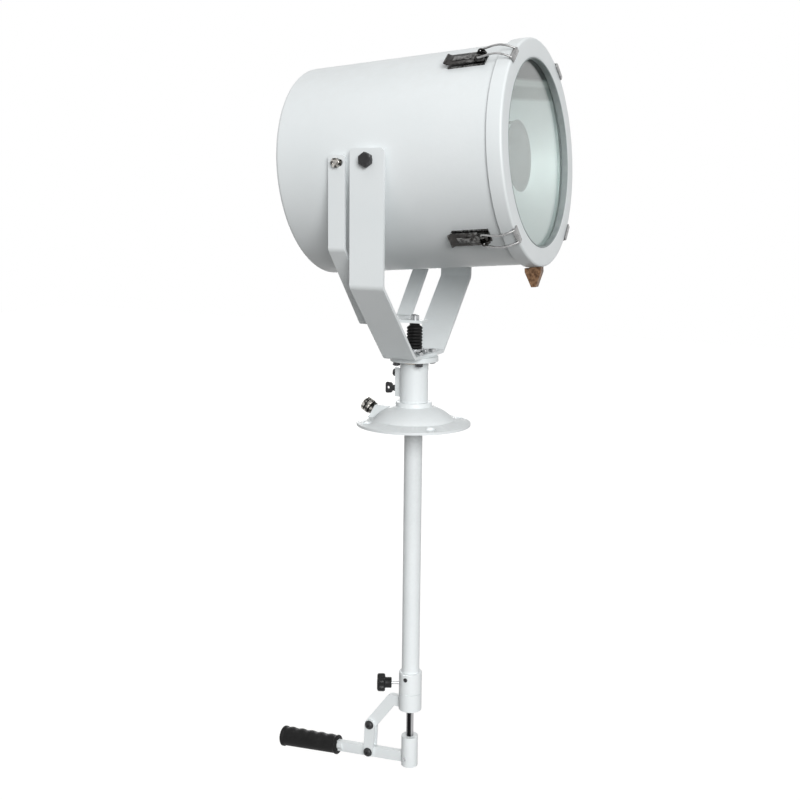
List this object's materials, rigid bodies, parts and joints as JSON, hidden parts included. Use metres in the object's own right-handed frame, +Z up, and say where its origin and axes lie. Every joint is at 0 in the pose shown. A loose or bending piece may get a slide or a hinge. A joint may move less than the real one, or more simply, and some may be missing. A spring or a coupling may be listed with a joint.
{
  "type": "marine searchlight",
  "caption": "Drum searchlight in a fork yoke on a roof base, panned by a tube through the roof and tilted by a push rod with a handle lever below.",
  "frame": {"origin": "centre of the base flange's underside, on the pan axis", "axes": "+Z up along the pan axis, +X the way the beam points at rest, Y along the trunnion axis"},
  "size_m": [0.5269, 0.4096, 1.3719],
  "materials": {
    "white_paint": "gloss enamel",
    "bronze": "machined",
    "lug_bronze": "dull",
    "nickel": "plated",
    "black_rubber": "matt",
    "black_steel": "blackened",
    "dark_steel": "dulled",
    "stainless": "bright",
    "black_plastic": "moulded",
    "glass": "clear",
    "silvered": "silvered",
    "grey_metal": "satin",
    "ceramic": "glazed",
    "bulb_glass": "frosted"
  },
  "bodies": {
    "base": {"base_flange": "white_paint", "column": "white_paint", "bushes": "bronze", "thrust_washer": "bronze", "gland_body": "nickel", "gland_nut": "nickel", "gland_seal": "black_rubber", "set_screw": "black_steel"},
    "wing": {"wing_screw": "black_steel"},
    "pan": {"pan_tube": "white_paint", "top_plate": "white_paint", "yoke": "white_paint", "yoke_bolts": "stainless", "yoke_nuts": "black_steel", "bellows_clamp": "stainless", "bellows": "black_rubber", "collar": "white_paint", "collar_screw": "black_steel", "bracket": "white_paint", "rod_guides": "bronze", "pivot_bolt_a": "black_steel"},
    "knob": {"lock_knob": "black_plastic"},
    "lamp": {"drum": "white_paint", "trunnion_bosses": "white_paint", "trunnion_bolts": "black_steel", "tilt_pads": "white_paint", "tilt_pins": "stainless", "bezel": "white_paint", "glass": "glass", "front_seal": "black_rubber", "glass_seal": "black_rubber", "reflector": "silvered", "holder_post": "stainless", "lamp_holder": "ceramic", "bulb": "bulb_glass", "bulb_shield": "grey_metal", "shield_posts": "stainless", "latch_bases": "dark_steel", "lug": "lug_bronze"},
    "rod": {"push_rod": "dark_steel", "tilt_yoke": "white_paint", "rod_cap": "stainless", "rod_block": "white_paint", "block_pin": "stainless"},
    "link": {"handle_link": "white_paint", "pivot_bolt_b": "black_steel"},
    "lever": {"lever": "white_paint", "grip": "black_rubber"},
    "latch_1": {"latch_lever_1": "dark_steel"},
    "bail_1": {"latch_bail_1": "stainless"},
    "latch_2": {"latch_lever_2": "dark_steel"},
    "bail_2": {"latch_bail_2": "stainless"},
    "latch_3": {"latch_lever_3": "dark_steel"},
    "bail_3": {"latch_bail_3": "stainless"},
    "latch_4": {"latch_lever_4": "dark_steel"},
    "bail_4": {"latch_bail_4": "stainless"}
  },
  "joints": [
    {"name": "pan_turn", "type": "hinge", "parent": "base", "child": "pan", "pos_m": [0, 0, 0], "axis": [0, 0, 1], "range_deg": [-180, 180]},
    {"name": "pan_lock", "type": "hinge", "parent": "base", "child": "wing", "pos_m": [-0.0383, 0, 0.065], "axis": [-1, 0, 0], "range_deg": [-180, 180]},
    {"name": "tilt_lock", "type": "hinge", "parent": "pan", "child": "knob", "pos_m": [-0.03746, -0.01668, -0.50636], "axis": [-0.9135, -0.4067, 0], "range_deg": [-180, 180]},
    {"name": "lamp_tilt", "type": "hinge", "parent": "pan", "child": "lamp", "pos_m": [0, 0, 0.468], "axis": [0, 1, 0], "range_deg": [-21, 29]},
    {"name": "rod_lift", "type": "slide", "parent": "pan", "child": "rod", "axis": [0, 0, 1], "range_m": [-0.0205, 0.0283], "deforming": ["bellows"]},
    {"name": "link_swing", "type": "hinge", "parent": "pan", "child": "link", "pos_m": [-0.083, 0, -0.607], "axis": [0, -1, 0], "range_deg": [-2.42, 3.33]},
    {"name": "lever_swing", "type": "hinge", "parent": "link", "child": "lever", "pos_m": [-0.086, 0, -0.66492], "axis": [0, -1, 0], "range_deg": [-12, 16.55]},
    {"name": "latch_1_open", "type": "hinge", "parent": "lamp", "child": "latch_1", "pos_m": [0.16703, -0.11802, 0.63111], "axis": [-0.0429, 0.788, 0.6142], "range_deg": [0, 100]},
    {"name": "bail_1_swing", "type": "hinge", "parent": "latch_1", "child": "bail_1", "pos_m": [0.16182, -0.12107, 0.63466], "axis": [-0.0429, 0.788, 0.6142], "range_deg": [-120.5, 0]},
    {"name": "latch_2_open", "type": "hinge", "parent": "lamp", "child": "latch_2", "pos_m": [0.18702, -0.13555, 0.34519], "axis": [-0.0493, -0.7071, 0.7054], "range_deg": [0, 100]},
    {"name": "bail_2_swing", "type": "hinge", "parent": "latch_2", "child": "bail_2", "pos_m": [0.18233, -0.13905, 0.34136], "axis": [-0.0493, -0.7071, 0.7054], "range_deg": [-120.5, 0]},
    {"name": "latch_3_open", "type": "hinge", "parent": "lamp", "child": "latch_3", "pos_m": [0.18702, 0.13555, 0.34519], "axis": [0.0493, -0.7071, -0.7054], "range_deg": [0, 100]},
    {"name": "bail_3_swing", "type": "hinge", "parent": "latch_3", "child": "bail_3", "pos_m": [0.18233, 0.13905, 0.34136], "axis": [0.0493, -0.7071, -0.7054], "range_deg": [-120.5, 0]},
    {"name": "latch_4_open", "type": "hinge", "parent": "lamp", "child": "latch_4", "pos_m": [0.16703, 0.11802, 0.63111], "axis": [0.0429, 0.788, -0.6142], "range_deg": [0, 100]},
    {"name": "bail_4_swing", "type": "hinge", "parent": "latch_4", "child": "bail_4", "pos_m": [0.16182, 0.12107, 0.63466], "axis": [0.0429, 0.788, -0.6142], "range_deg": [-120.5, 0]}
  ],
  "couplings": [
    {"joint": "rod_lift", "follows": "lamp_tilt", "m_per_rad": 0.05565},
    {"joint": "link_swing", "follows": "lamp_tilt", "ratio": 0.1125},
    {"joint": "lever_swing", "follows": "lamp_tilt", "ratio": 0.5677},
    {"joint": "bail_1_swing", "follows": "latch_1_open", "ratio": -1.2},
    {"joint": "bail_2_swing", "follows": "latch_2_open", "ratio": -1.2},
    {"joint": "bail_3_swing", "follows": "latch_3_open", "ratio": -1.2},
    {"joint": "bail_4_swing", "follows": "latch_4_open", "ratio": -1.2}
  ]
}
